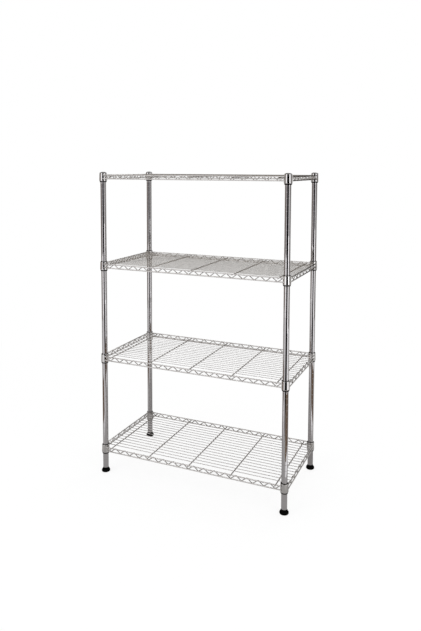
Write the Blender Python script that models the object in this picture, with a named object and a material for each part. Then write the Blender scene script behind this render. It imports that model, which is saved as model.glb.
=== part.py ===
"""Wire shelving unit: four grooved posts, four welded wire shelves, split sleeves, caps and levelling feet.

Metres, +Z up. The floor is z = 0 and the origin lies on it under the middle of the unit.
X runs along the long front and Y runs into the depth, with the front at -Y.
A radius of a many-sided piece is measured to its flats.
"""

import math

import bmesh
import bpy
from mathutils import Vector

# Layout of the unit
POST_SPACING_X = 0.872
POST_SPACING_Y = 0.419
GROOVE_PITCH = 0.0254
BOTTOM_SHELF_HEIGHT = 0.1325
SHELVES = {"bottom": 0, "lower": 17, "upper": 34, "top": 50}  # height above the bottom shelf, in grooves
SIDES = {"left": -1, "right": 1}
DEPTHS = {"front": -1, "back": 1}

# Clearances
FIT = 0.0003  # between pieces that touch
FOOT_FIT = 0.0004  # between the foot and the stem that it turns on
WELD_SINK = 0.0004  # how far welded wires run into each other
SPLIT_GAP = 0.0006  # between the two halves of a sleeve

# Posts
POST_RADIUS = 0.0127
POST_WALL = 0.0015
GROOVE_DEPTH = 0.0007
GROOVE_WIDTH = 0.0022
TURNED_SIDES = 12

# Split sleeves, wider at the bottom so that a collar wedges down on them
SLEEVE_SHOW_ABOVE = 0.001  # how much sleeve shows above its collar
SLEEVE_SHOW_BELOW = 0.005  # how much sleeve shows below its collar
SLEEVE_TOP_WALL = 0.0016
SLEEVE_TAPER = 0.0010  # gain in radius over the height of the sleeve

# Shelf collars
COLLAR_HEIGHT = 0.037
COLLAR_WALL = 0.0016

# Shelf wires
RAIL_RADIUS = 0.0025
RAIL_INSET = 0.0092  # from the top of the collar to the middle of the upper rail
RAIL_SPACING = 0.0168  # between the middles of a truss's two rails
RAIL_SIDES = 6
ZIGZAG_RADIUS = 0.0020
ZIGZAG_PITCH = 0.050
ZIGZAG_SIDES = 4
ROD_RADIUS = 0.0025
ROD_EVERY = 4  # zigzag pitches from one cross rod to the next
ROD_OVERHANG = 0.0015  # past the middle of the rail that carries the rod
DECK_WIRE_RADIUS = 0.0015
DECK_WIRE_PITCH = 0.0247
DECK_WIRE_CLEAR = 0.002  # least gap between a deck wire and a collar that it passes
WIRE_SIDES = 6

# Post caps
CAP_RIM = 0.0012
CAP_CROWN = 0.0028
CAP_CROWN_RADIUS = 0.0075
CAP_SKIRT = 0.012

# Levelling feet
PAD_RADIUS = 0.0190
PAD_HEIGHT = 0.0205
PAD_SOLE_RADIUS = 0.0130
PAD_SOLE_RISE = 0.0045
PAD_SIDE_HEIGHT = 0.0100
PAD_SHOULDER_RADIUS = 0.0170
PAD_SHOULDER_HEIGHT = 0.0165
PAD_TOP_RADIUS = 0.0132
PAD_SOCKET_DEPTH = 0.012
POST_CLEAR = 0.001  # between the foot, screwed right in, and the post
STEM_RADIUS = 0.005
STEM_ABOVE_PLUG = 0.008
STEM_POINT = 0.0010  # chamfer at the top of the stem
PLUG_HEIGHT = 0.030  # threaded plug in the lower end of the post

# Places and sizes that follow from the ones above
SLEEVE_HEIGHT = SLEEVE_SHOW_ABOVE + COLLAR_HEIGHT + SLEEVE_SHOW_BELOW
SLEEVE_BORE = POST_RADIUS + FIT
SLEEVE_TOP_RADIUS = SLEEVE_BORE + SLEEVE_TOP_WALL
COLLAR_TOP = -SLEEVE_SHOW_ABOVE
COLLAR_BOTTOM = COLLAR_TOP - COLLAR_HEIGHT
TOP_RAIL = COLLAR_TOP - RAIL_INSET
BOTTOM_RAIL = TOP_RAIL - RAIL_SPACING
TRUSS_OFFSET = RAIL_RADIUS + FIT + ZIGZAG_RADIUS  # from the rails to the zigzag beside them
TRUSS_WELD = FIT + WELD_SINK  # how far the zigzag leans over to the rails where it is welded
TOP_SHELF_HEIGHT = BOTTOM_SHELF_HEIGHT + max(SHELVES.values()) * GROOVE_PITCH
POST_BOTTOM = PAD_HEIGHT + POST_CLEAR
POST_TOP = TOP_SHELF_HEIGHT  # level with the sleeves of the top shelf, so the cap stands above them
POST_BORE = POST_RADIUS - POST_WALL
PLUG_TOP = POST_BOTTOM + PLUG_HEIGHT
X_AXIS = Vector((1, 0, 0))
Y_AXIS = Vector((0, 1, 0))
Z_AXIS = Vector((0, 0, 1))
SMOOTH_ANGLE = math.radians(65)


def shelf_height(shelf):
    """Height of the top of a shelf's sleeves above the floor."""
    return BOTTOM_SHELF_HEIGHT + SHELVES[shelf] * GROOVE_PITCH


def sleeve_radius(height):
    """Outer radius of a sleeve at a height below its top, which is a negative number."""
    return SLEEVE_TOP_RADIUS - SLEEVE_TAPER * height / SLEEVE_HEIGHT


def collar_bore(height):
    """Inner radius of a collar, which follows the taper of the sleeve inside it."""
    return sleeve_radius(height) + FIT


def collar_radius(height):
    """Outer radius of a collar."""
    return collar_bore(height) + COLLAR_WALL


def collar_reach():
    """Radius round a post's axis that holds the whole collar."""
    return collar_radius(COLLAR_BOTTOM) / math.cos(math.pi / TURNED_SIDES)


def truss_plane(half_spacing):
    """Distance of a truss's rails from the middle of the unit, with their outer sides flush with the collars."""
    return half_spacing + collar_radius(TOP_RAIL) - RAIL_RADIUS


def rail_stop(radius):
    """How far before a post's axis a rail ends, if its inner side ends at a radius round that axis."""
    reach = radius / math.cos(math.pi / TURNED_SIDES)
    return math.sqrt(reach**2 - truss_plane(-RAIL_RADIUS) ** 2)


def finish(name, colour, roughness, metallic):
    """A plain material."""
    material = bpy.data.materials.new(name)
    material.use_nodes = True
    shader = material.node_tree.nodes["Principled BSDF"]
    shader.inputs["Base Color"].default_value = (*colour, 1)
    shader.inputs["Roughness"].default_value = roughness
    shader.inputs["Metallic"].default_value = metallic
    return material


def shaded(mesh, material):
    """The mesh with its material, smooth but for its sharp edges."""
    mesh.materials.clear()
    mesh.materials.append(material)
    mesh.shade_smooth()
    mesh.set_sharp_from_angle(angle=SMOOTH_ANGLE)
    return mesh


def closed_mesh(form, name):
    """A mesh from a bmesh of closed shells, with every face turned outwards."""
    bmesh.ops.recalc_face_normals(form, faces=form.faces)
    mesh = bpy.data.meshes.new(name)
    form.to_mesh(mesh)
    form.free()
    return mesh


def place(name, mesh, location, turn=0.0, parent=None):
    """An object that shows a mesh at a place, turned about Z."""
    item = bpy.data.objects.new(name, mesh)
    bpy.context.scene.collection.objects.link(item)
    item.location = location
    item.rotation_euler.z = turn
    item.parent = parent
    return item


def corners(radius, sides):
    """The corners of a regular polygon with a flat towards +X."""
    reach = radius / math.cos(math.pi / sides)
    angles = [2 * math.pi * (step + 0.5) / sides for step in range(sides)]
    return [Vector((reach * math.cos(angle), reach * math.sin(angle), 0)) for angle in angles]


def add_turned(form, profile, sides, centre=(0, 0, 0)):
    """Turns a closed profile of (radius, height) points about Z; a radius of zero is a point on the axis."""
    rows = []
    for radius, height in profile:
        base = Vector(centre) + Z_AXIS * height
        ring = corners(radius, sides) if radius else [Vector()]
        rows.append([form.verts.new(base + corner) for corner in ring])
    for row, other in zip(rows, rows[1:] + rows[:1]):
        if len(row) == len(other) == 1:
            continue
        for step in range(sides):
            quad = [row[step % len(row)], row[(step + 1) % len(row)]]
            quad += [other[(step + 1) % len(other)], other[step % len(other)]]
            form.faces.new(list(dict.fromkeys(quad)))


def turned(name, profile):
    """A mesh turned from one closed profile."""
    form = bmesh.new()
    add_turned(form, profile, TURNED_SIDES)
    return closed_mesh(form, name)


def add_wire(form, points, radius, sides, flat):
    """A wire along points, with mitred bends and a many-sided section that has a flat towards one direction."""
    rings = []
    for index, point in enumerate(points):
        arrive = point - points[index - 1] if index else points[1] - point
        leave = points[index + 1] - point if index + 1 < len(points) else arrive
        along = (arrive.normalized() + leave.normalized()).normalized()
        across = flat.cross(along).normalized()
        mitre = 1 / along.dot(arrive.normalized())
        section = corners(radius, sides)
        rings.append([form.verts.new(point + flat * spot.x + across * (spot.y * mitre)) for spot in section])
    for ring, other in zip(rings, rings[1:]):
        for step in range(sides):
            after = (step + 1) % sides
            form.faces.new((ring[step], ring[after], other[after], other[step]))
    form.faces.new(rings[0])
    form.faces.new(rings[-1])


def welded(name, first, second):
    """One mesh from two bodies of wires that run into each other."""
    body = place(name, first, (0, 0, 0))
    other = place(name + "_other", second, (0, 0, 0))
    join = body.modifiers.new("weld", "BOOLEAN")
    join.operation = "UNION"
    join.solver = "EXACT"
    join.object = other
    graph = bpy.context.evaluated_depsgraph_get()
    mesh = bpy.data.meshes.new_from_object(body.evaluated_get(graph))
    bpy.data.objects.remove(body)
    bpy.data.objects.remove(other)
    return mesh


def zigzag_route(half_span):
    """Places along a truss and heights of the zigzag's turns, with its welded turns marked.

    Valleys lie at whole pitches and crests between them. The wire ends where its span ends,
    and its outermost valley and crest on each side are welded to the rails.
    """
    step = ZIGZAG_PITCH / 2
    turns = int((half_span - 2 * ZIGZAG_RADIUS) / step)
    slope = (TOP_RAIL - BOTTOM_RAIL) / step
    route = []
    for turn in range(-turns, turns + 1):
        height = TOP_RAIL if turn % 2 else BOTTOM_RAIL
        route.append((turn * step, height, abs(turn) > turns - 2))
    rest = half_span - turns * step
    if rest > 4 * ZIGZAG_RADIUS:
        away = -slope if turns % 2 else slope
        end_height = route[-1][1] + away * rest
        route.insert(0, (-half_span, end_height, False))
        route.append((half_span, end_height, False))
    return route


def truss_span(half_spacing):
    """Half the length that a zigzag has between two collars."""
    return half_spacing - collar_reach() - FIT - ZIGZAG_RADIUS


def add_zigzag(form, half_spacing, along, inwards, rail_middle):
    """The zigzag wire on the inner side of a truss's two rails."""
    points = []
    for place_along, height, is_welded in zigzag_route(truss_span(half_spacing)):
        offset = TRUSS_OFFSET - (TRUSS_WELD if is_welded else 0)
        points.append(rail_middle + along * place_along + inwards * offset + Z_AXIS * height)
    add_wire(form, points, ZIGZAG_RADIUS, ZIGZAG_SIDES, inwards)


def deck_mesh():
    """The deck of a shelf: front and back trusses, cross rods under their top rails and deck wires on the rods."""
    half_x = POST_SPACING_X / 2
    half_y = POST_SPACING_Y / 2
    truss_y = truss_plane(half_y)
    long_wires = bmesh.new()
    for depth in DEPTHS.values():
        for height in (TOP_RAIL, BOTTOM_RAIL):
            end = half_x - rail_stop(collar_radius(height - RAIL_RADIUS)) - FIT
            ends = [Vector((side * end, depth * truss_y, height)) for side in SIDES.values()]
            add_wire(long_wires, ends, RAIL_RADIUS, RAIL_SIDES, Y_AXIS)

    middle_rod = TOP_RAIL - RAIL_RADIUS - ROD_RADIUS + 2 * WELD_SINK + FIT
    outer_rod = middle_rod - WELD_SINK - FIT
    deck_wire = middle_rod + ROD_RADIUS - WELD_SINK + DECK_WIRE_RADIUS
    wire_end = truss_plane(half_x) - TRUSS_OFFSET - ZIGZAG_RADIUS - FIT
    outermost = half_y - collar_reach() - DECK_WIRE_CLEAR - DECK_WIRE_RADIUS
    count = int(outermost / DECK_WIRE_PITCH + 0.5)
    for index in range(-count, count):
        lane = (index + 0.5) * DECK_WIRE_PITCH
        ends = [Vector((side * wire_end, lane, deck_wire)) for side in SIDES.values()]
        add_wire(long_wires, ends, DECK_WIRE_RADIUS, WIRE_SIDES, Z_AXIS)

    cross_wires = bmesh.new()
    rod_pitch = ROD_EVERY * ZIGZAG_PITCH
    rods = int(truss_span(half_x) / rod_pitch)
    for index in range(-rods, rods + 1):
        height = outer_rod if index else middle_rod
        rod_end = truss_y + ROD_OVERHANG
        ends = [Vector((index * rod_pitch, depth * rod_end, height)) for depth in DEPTHS.values()]
        add_wire(cross_wires, ends, ROD_RADIUS, WIRE_SIDES, Z_AXIS)
    for depth in DEPTHS.values():
        add_zigzag(cross_wires, half_x, X_AXIS, -depth * Y_AXIS, Vector((0, depth * truss_y, 0)))
    return welded("shelf_deck", closed_mesh(long_wires, "long_wires"), closed_mesh(cross_wires, "cross_wires"))


def end_mesh():
    """The left end of a shelf: two tapered collars, the rails between them and a zigzag on the inner side."""
    half_y = POST_SPACING_Y / 2
    rail_middle = -truss_plane(0) * X_AXIS
    rails = bmesh.new()
    for height in (TOP_RAIL, BOTTOM_RAIL):
        end = half_y - rail_stop(collar_bore(height) + COLLAR_WALL / 2)
        ends = [rail_middle + Vector((0, depth * end, height)) for depth in DEPTHS.values()]
        add_wire(rails, ends, RAIL_RADIUS, RAIL_SIDES, X_AXIS)

    collars = bmesh.new()
    profile = [
        (collar_bore(COLLAR_TOP), COLLAR_TOP),
        (collar_radius(COLLAR_TOP), COLLAR_TOP),
        (collar_radius(COLLAR_BOTTOM), COLLAR_BOTTOM),
        (collar_bore(COLLAR_BOTTOM), COLLAR_BOTTOM),
    ]
    for depth in DEPTHS.values():
        add_turned(collars, profile, TURNED_SIDES, (0, depth * half_y, 0))
    add_zigzag(collars, half_y, Y_AXIS, X_AXIS, rail_middle)
    return welded("shelf_end", closed_mesh(rails, "end_rails"), closed_mesh(collars, "collars"))


def post_mesh():
    """A grooved tube with a threaded plug in its lower end, and a groove behind each sleeve."""
    profile = [(POST_RADIUS, POST_BOTTOM)]
    for shelf in SHELVES:
        middle = shelf_height(shelf) - SLEEVE_HEIGHT / 2
        profile.append((POST_RADIUS, middle - GROOVE_WIDTH / 2))
        profile.append((POST_RADIUS - GROOVE_DEPTH, middle))
        profile.append((POST_RADIUS, middle + GROOVE_WIDTH / 2))
    profile += [(POST_RADIUS, POST_TOP), (POST_BORE, POST_TOP), (POST_BORE, PLUG_TOP)]
    profile += [(STEM_RADIUS + FIT, PLUG_TOP), (STEM_RADIUS + FIT, POST_BOTTOM)]
    return turned("post", profile)


def sleeve_half_mesh():
    """One half of a split sleeve, with a rib inside that sits in a groove of the post."""
    middle = -SLEEVE_HEIGHT / 2
    rib = GROOVE_WIDTH / 2 - FIT
    profile = [
        (sleeve_radius(-SLEEVE_HEIGHT), -SLEEVE_HEIGHT),
        (sleeve_radius(0), 0),
        (SLEEVE_BORE, 0),
        (SLEEVE_BORE, middle + rib),
        (SLEEVE_BORE - GROOVE_DEPTH, middle),
        (SLEEVE_BORE, middle - rib),
        (SLEEVE_BORE, -SLEEVE_HEIGHT),
    ]
    form = bmesh.new()
    rows = []
    for radius, height in profile:
        ring = corners(radius, TURNED_SIDES)
        arc = ring[1 : TURNED_SIDES // 2 + 2]
        trim = SPLIT_GAP / 2 / math.cos(math.pi / TURNED_SIDES)
        first = arc[0] + (arc[1] - arc[0]).normalized() * trim
        last = arc[-1] + (arc[-2] - arc[-1]).normalized() * trim
        rows.append([form.verts.new(spot + Z_AXIS * height) for spot in [first, *arc[1:-1], last]])
    for row, other in zip(rows, rows[1:] + rows[:1]):
        for step in range(TURNED_SIDES // 2):
            form.faces.new((row[step], row[step + 1], other[step + 1], other[step]))
    form.faces.new([row[0] for row in rows])
    form.faces.new([row[-1] for row in rows])
    return closed_mesh(form, "sleeve_half")


def cap_mesh():
    """A domed plug that closes the top of a post and stands above its top sleeve."""
    profile = [
        (0, CAP_RIM + CAP_CROWN),
        (CAP_CROWN_RADIUS, CAP_RIM + CAP_CROWN),
        (POST_RADIUS, CAP_RIM),
        (POST_RADIUS, FIT),
        (POST_BORE - FIT, FIT),
        (POST_BORE - FIT, -CAP_SKIRT),
        (0, -CAP_SKIRT),
    ]
    return turned("cap", profile)


def foot_stem_mesh():
    """The threaded stem of a levelling foot, from the foot's socket up through the plug of the post."""
    bottom = PAD_HEIGHT - PAD_SOCKET_DEPTH + FIT
    top = PLUG_TOP + STEM_ABOVE_PLUG
    profile = [
        (0, top),
        (STEM_RADIUS - STEM_POINT, top),
        (STEM_RADIUS, top - STEM_POINT),
        (STEM_RADIUS, bottom),
        (0, bottom),
    ]
    return turned("foot_stem", profile)


def foot_pad_mesh():
    """A bun-shaped foot that narrows to a flat sole and to the post above it, with a socket for the stem."""
    socket = STEM_RADIUS + FOOT_FIT
    profile = [
        (0, 0),
        (PAD_SOLE_RADIUS, 0),
        (PAD_RADIUS, PAD_SOLE_RISE),
        (PAD_RADIUS, PAD_SIDE_HEIGHT),
        (PAD_SHOULDER_RADIUS, PAD_SHOULDER_HEIGHT),
        (PAD_TOP_RADIUS, PAD_HEIGHT),
        (socket, PAD_HEIGHT),
        (socket, PAD_HEIGHT - PAD_SOCKET_DEPTH),
        (0, PAD_HEIGHT - PAD_SOCKET_DEPTH),
    ]
    return turned("foot_pad", profile)


def build_posts(chrome, plastic, steel):
    """The posts with their caps, feet and sleeves."""
    post = shaded(post_mesh(), chrome)
    cap = shaded(cap_mesh(), chrome)
    stem = shaded(foot_stem_mesh(), steel)
    pad = shaded(foot_pad_mesh(), plastic)
    sleeve_half = shaded(sleeve_half_mesh(), plastic)
    for depth_name, depth in DEPTHS.items():
        for side_name, side in SIDES.items():
            corner = f"{depth_name}_{side_name}"
            x = side * POST_SPACING_X / 2
            y = depth * POST_SPACING_Y / 2
            place(f"post_{corner}", post, (x, y, 0))
            place(f"cap_{corner}", cap, (x, y, POST_TOP))
            place(f"foot_stem_{corner}", stem, (x, y, 0))
            place(f"foot_pad_{corner}", pad, (x, y, 0))
            for shelf in SHELVES:
                for half, turn in {"a": 0.0, "b": math.pi}.items():
                    spot = (x, y, shelf_height(shelf))
                    place(f"sleeve_{shelf}_{corner}_{half}", sleeve_half, spot, turn)


def build_shelves(chrome):
    """Each shelf: a deck and two ends, held by an empty at the height of the shelf."""
    deck = shaded(deck_mesh(), chrome)
    end = shaded(end_mesh(), chrome)
    for shelf in SHELVES:
        holder = place(f"shelf_{shelf}", None, (0, 0, shelf_height(shelf)))
        place(f"shelf_{shelf}_deck", deck, (0, 0, 0), parent=holder)
        for side_name, side in SIDES.items():
            spot = (side * POST_SPACING_X / 2, 0, 0)
            turn = math.pi if side > 0 else 0.0
            place(f"shelf_{shelf}_{side_name}_end", end, spot, turn, holder)


def main():
    """Clears the scene and builds the unit."""
    for item in list(bpy.data.objects):
        bpy.data.objects.remove(item)
    chrome = finish("chrome", (0.62, 0.62, 0.63), 0.18, 1.0)
    plastic = finish("black_plastic", (0.02, 0.02, 0.02), 0.5, 0.0)
    steel = finish("zinc_steel", (0.55, 0.55, 0.54), 0.35, 1.0)
    build_posts(chrome, plastic, steel)
    build_shelves(chrome)


main()
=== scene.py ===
"""Looks of the wire shelving unit: chrome wire shelves on four grooved posts."""

import logging
import math
from collections.abc import Sequence
from dataclasses import KW_ONLY, dataclass, replace
from enum import Enum

import bpy
import numpy as np
from bpy.types import Material, Mesh, Node, NodeSocket, NodeTree, Object
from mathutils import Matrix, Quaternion, Vector


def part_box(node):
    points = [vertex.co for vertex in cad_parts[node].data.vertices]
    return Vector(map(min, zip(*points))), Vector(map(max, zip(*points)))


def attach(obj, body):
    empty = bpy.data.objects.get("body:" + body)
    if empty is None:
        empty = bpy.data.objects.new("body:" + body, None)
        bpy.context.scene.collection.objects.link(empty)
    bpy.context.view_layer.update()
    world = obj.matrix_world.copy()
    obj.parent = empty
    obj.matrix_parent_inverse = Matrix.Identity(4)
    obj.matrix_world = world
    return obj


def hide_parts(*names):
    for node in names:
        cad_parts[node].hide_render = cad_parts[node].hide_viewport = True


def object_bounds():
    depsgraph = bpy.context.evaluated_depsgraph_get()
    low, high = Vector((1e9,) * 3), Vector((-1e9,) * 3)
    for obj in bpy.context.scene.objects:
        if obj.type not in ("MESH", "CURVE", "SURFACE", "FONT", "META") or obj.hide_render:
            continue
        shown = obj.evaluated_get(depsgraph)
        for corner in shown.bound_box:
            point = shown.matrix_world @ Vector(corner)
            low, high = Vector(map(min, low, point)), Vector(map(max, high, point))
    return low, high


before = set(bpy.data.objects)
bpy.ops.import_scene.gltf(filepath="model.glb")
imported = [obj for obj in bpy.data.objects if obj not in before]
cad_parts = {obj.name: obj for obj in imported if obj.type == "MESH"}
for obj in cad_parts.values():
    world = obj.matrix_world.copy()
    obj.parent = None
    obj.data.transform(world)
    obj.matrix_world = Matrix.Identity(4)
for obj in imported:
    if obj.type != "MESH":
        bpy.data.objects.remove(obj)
CAD_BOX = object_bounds()

LOG = logging.getLogger("wire_shelving")
Array = np.ndarray
Pair = tuple[float, float]
Triple = tuple[float, float, float]
Colour = Triple
IMAGE_HEIGHT = 631
CUT_BEVEL = 0.0004
NEAR_END = 0.03
BEAD_SIDES = 8
BEAD_LATITUDE = 50.0
BUMP_DEPTH = 0.0002
MIX_INPUTS = (0, 6, 7)
MIX_OUTPUT = 2
FULL_TURN = 2.0 * math.pi
BOTH_WAYS = np.array([-1.0, 1.0])
WHITE = (1.0, 1.0, 1.0)
BLACK = (0.0, 0.0, 0.0)


class Shelf(Enum):
    """The four shelves, from the floor up."""

    BOTTOM = "bottom"
    LOWER = "lower"
    UPPER = "upper"
    TOP = "top"


class Corner(Enum):
    """The four posts, as seen from the front."""

    FRONT_LEFT = "front_left"
    FRONT_RIGHT = "front_right"
    BACK_LEFT = "back_left"
    BACK_RIGHT = "back_right"


class End(Enum):
    """The short ends of a shelf."""

    LEFT = "left"
    RIGHT = "right"


class Half(Enum):
    """The halves of a split sleeve."""

    A = "a"
    B = "b"


class Slot(Enum):
    """The record's material slots."""

    POST = "post_chrome"
    WIRE = "shelf_chrome"
    CAP = "cap_chrome"
    SLEEVE = "sleeve_plastic"
    FOOT = "foot_plastic"
    STEM = "zinc_steel"


# Surfaces as whole arrays


@dataclass(frozen=True)
class Surface:
    """One closed skin, or several that lie side by side in one mesh.

    points is in metres. quads and fans hold the vertex numbers of four-sided and
    three-sided faces. The last field is how dull and dark each vertex is, from 0 up:
    real dirt on welds and stems, rubbed patches on plastics, painted shade on the
    shelf wires, collars, post grooves and caps, and plain darkening at the post feet.
    """

    points: Array
    quads: Array
    fans: Array
    soil_and_shade: Array


def abreast(*parts: Array | float) -> Array:
    """Sets arrays and numbers side by side, along a new last axis."""
    return np.stack(np.broadcast_arrays(*parts), axis=-1)


def unit(ways: Array) -> Array:
    """Scales each vector to a length of 1."""
    return ways / np.linalg.norm(ways, axis=-1, keepdims=True)


def grid_quads(rows: int, columns: int, ring: bool) -> Array:
    """Lists the quads of a grid whose columns always meet.

    Quad (i, j) joins rows i and i + 1 and columns j and j + 1, counted round.

    Args:
        rows: How many rows the grid has.
        columns: How many columns it has.
        ring: Whether the last row also meets the first.

    Returns:
        The vertex numbers, four to a quad.
    """
    number = np.arange(rows * columns).reshape(rows, columns)
    beside = np.roll(number, -1, axis=1)
    corners = abreast(number, beside, np.roll(beside, -1, axis=0), np.roll(number, -1, axis=0))
    return corners[: rows if ring else rows - 1].reshape(-1, 4)


def signed_volume(points: Array, quads: Array, fans: Array) -> float:
    """Adds up a sixth of each triangle's triple product, which is positive where faces look out."""
    triangles = np.concatenate([quads[:, :3], quads[:, [0, 2, 3]], fans])
    return float(np.linalg.det(points[triangles] - points.mean(axis=0)).sum() / 6.0)


def skin(grid: Array, soil_and_shade: Array | float = 0.0, ring: bool = False) -> Surface:
    """Closes a grid of rows by columns into one skin whose faces look out.

    Columns meet each other. Where rows don't, a fan of triangles to its mean
    closes the first and the last row.

    Args:
        grid: Vertex places, rows by columns by three.
        soil_and_shade: How dull each row is, or all of them are.
        ring: Whether the last row meets the first.

    Returns:
        The closed skin.
    """
    rows, columns = grid.shape[:2]
    points = grid.reshape(-1, 3)
    marks = np.repeat(np.broadcast_to(soil_and_shade, rows), columns)
    quads = grid_quads(rows, columns, ring)
    fans = np.zeros((0, 3), dtype=int)
    if not ring:
        column = np.arange(columns)
        beside = (column + 1) % columns
        last = (rows - 1) * columns
        foot = abreast(beside, column, rows * columns)
        top = abreast(last + column, last + beside, rows * columns + 1)
        fans = np.concatenate([foot, top])
        points = np.concatenate([points, grid[[0, -1]].mean(axis=1)])
        marks = np.concatenate([marks, marks[[0, -1]]])
    if signed_volume(points, quads, fans) < 0.0:
        quads = quads[:, ::-1]
        fans = fans[:, ::-1]
    return Surface(points, quads, fans, marks)


def joined(surfaces: Sequence[Surface]) -> Surface:
    """Puts closed skins side by side in one surface, with their vertices in the same order."""
    starts = np.cumsum([0] + [len(part.points) for part in surfaces[:-1]])
    return Surface(
        np.concatenate([part.points for part in surfaces]),
        np.concatenate([part.quads + start for part, start in zip(surfaces, starts)]),
        np.concatenate([part.fans + start for part, start in zip(surfaces, starts)]),
        np.concatenate([part.soil_and_shade for part in surfaces]),
    )


def bow(centre: Pair, reach: Pair, start: float, stop: float, steps: int) -> Array:
    """Gives an ellipse's arc from start to stop degrees: centre plus reach times the cosine and the sine."""
    angle = np.radians(np.linspace(start, stop, steps))
    return np.array(centre) + np.array(reach) * abreast(np.cos(angle), np.sin(angle))


def between(first: Array, last: Array) -> Array:
    """Gives points just after one point and just before another, to keep the stretch between flat."""
    return first + (last - first) * np.array([[NEAR_END], [1.0 - NEAR_END]])


def bearings(sides: int) -> Array:
    """Gives even angles once round, in radians."""
    return np.linspace(0.0, FULL_TURN, sides, endpoint=False)


def polar(axis: Pair, radius: Array | float, angle: Array, height: Array | float) -> Array:
    """Sets points round an axis: x and y are the axis plus the radius times the cosine and the sine."""
    return abreast(axis[0] + radius * np.cos(angle), axis[1] + radius * np.sin(angle), height)


def turned(profile: Array, axis: Pair, sides: int, soil_and_shade: Array | float = 0.0, ring: bool = False) -> Surface:
    """Turns rows of radius and height round an upright axis, as a pipe where they make a ring."""
    return skin(polar(axis, profile[:, :1], bearings(sides), profile[:, 1:]), soil_and_shade, ring)


def wire(path: Array, radius: float, sides: int, across: Sequence[float], soil_and_shade: float) -> Surface:
    """Carries a circle along a path that lies in one plane, with a bevel at each end.

    A ring is the path's point plus the radius times the cosine along the plane's
    normal and the sine along what is square to it and the path.

    Args:
        path: Points of the middle line, in order.
        radius: Radius of the wire.
        sides: How many columns go round.
        across: The normal of the plane that the path lies in.
        soil_and_shade: How dull its metal is.

    Returns:
        The closed wire.
    """
    ahead, behind = CUT_BEVEL * unit(path[[1, -2]] - path[[0, -1]])
    line = np.concatenate([path[:1], path[:1] + ahead, path[1:-1], path[-1:] + behind, path[-1:]])
    size = np.full(len(line), radius)
    size[[0, -1]] = radius - CUT_BEVEL
    along = unit(np.gradient(line, axis=0))
    square = np.cross(along, across)
    angle = bearings(sides)[:, None]
    ring = np.cos(angle) * np.array(across) + np.sin(angle) * square[:, None]
    return skin(line[:, None] + size[:, None, None] * ring, soil_and_shade)


def beads(centres: Array, half_axes: Sequence[float], soil_and_shade: float) -> Surface:
    """Sets one small ellipsoid at each centre, as the squeezed metal of a weld.

    A bead is the unit ball of three rings and two poles, times its half axes.

    Args:
        centres: Middle of each bead.
        half_axes: Half its length in x, y and z.
        soil_and_shade: How dull its metal is.

    Returns:
        All the beads in one surface.
    """
    latitude = np.radians([-BEAD_LATITUDE, 0.0, BEAD_LATITUDE])
    profile = abreast(np.cos(latitude), np.sin(latitude))
    ball = turned(profile, (0.0, 0.0), BEAD_SIDES, soil_and_shade)
    points = ball.points.copy()
    points[-2:, 2] = BOTH_WAYS
    points *= half_axes
    return joined([replace(ball, points=centre + points) for centre in centres])


def crossings(first: Array, second: Array, third: Array) -> Array:
    """Lists every point of three coordinate lists crossed with each other."""
    return abreast(*np.meshgrid(first, second, third, indexing="ij")).reshape(-1, 3)


# Finishes


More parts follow.
